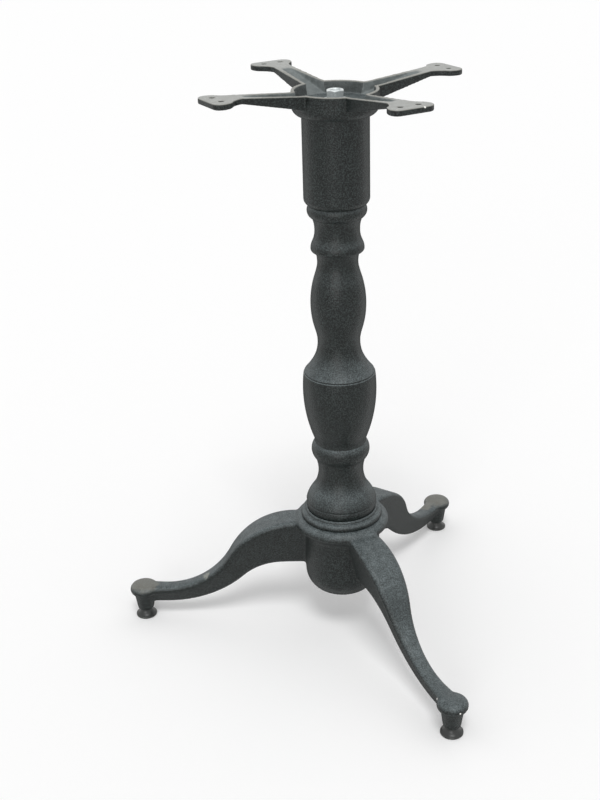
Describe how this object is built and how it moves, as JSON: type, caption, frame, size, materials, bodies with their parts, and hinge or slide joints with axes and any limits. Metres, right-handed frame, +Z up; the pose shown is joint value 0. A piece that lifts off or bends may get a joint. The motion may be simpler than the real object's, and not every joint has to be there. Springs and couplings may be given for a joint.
{
  "type": "pedestal table base",
  "caption": "Pedestal table base: cast tripod with levelling glides, turned hollow column and channelled four-armed top spider, drawn together by one tie rod.",
  "frame": {"origin": "on the floor, on the column's axis, at the centre of the three glides' circle", "axes": "+Z up along the column's axis; X and Y along the sides of the square of table-top screws"},
  "size_m": [0.4844, 0.4971, 0.72],
  "materials": {
    "powder_coat": "charcoal fine-textured powder coat, satin",
    "zinc_plate": "bright zinc plate",
    "glide_plastic": "moulded black nylon"
  },
  "bodies": {
    "base": {"tripod_base": "powder_coat", "column": "powder_coat", "top_spider": "powder_coat", "tie_rod": "zinc_plate", "top_washer": "zinc_plate", "top_nut": "zinc_plate", "bottom_washer": "zinc_plate", "bottom_nut": "zinc_plate"},
    "glide_front": {"glide_foot_front": "glide_plastic", "glide_stud_front": "zinc_plate"},
    "glide_back": {"glide_foot_back": "glide_plastic", "glide_stud_back": "zinc_plate"},
    "glide_left": {"glide_foot_left": "glide_plastic", "glide_stud_left": "zinc_plate"}
  },
  "joints": [
    {"name": "glide_front_screw", "type": "slide", "parent": "base", "child": "glide_front", "axis": [0, 0, -1], "range_m": [0, 0.012]},
    {"name": "glide_back_screw", "type": "slide", "parent": "base", "child": "glide_back", "axis": [0, 0, -1], "range_m": [0, 0.012]},
    {"name": "glide_left_screw", "type": "slide", "parent": "base", "child": "glide_left", "axis": [0, 0, -1], "range_m": [0, 0.012]}
  ]
}
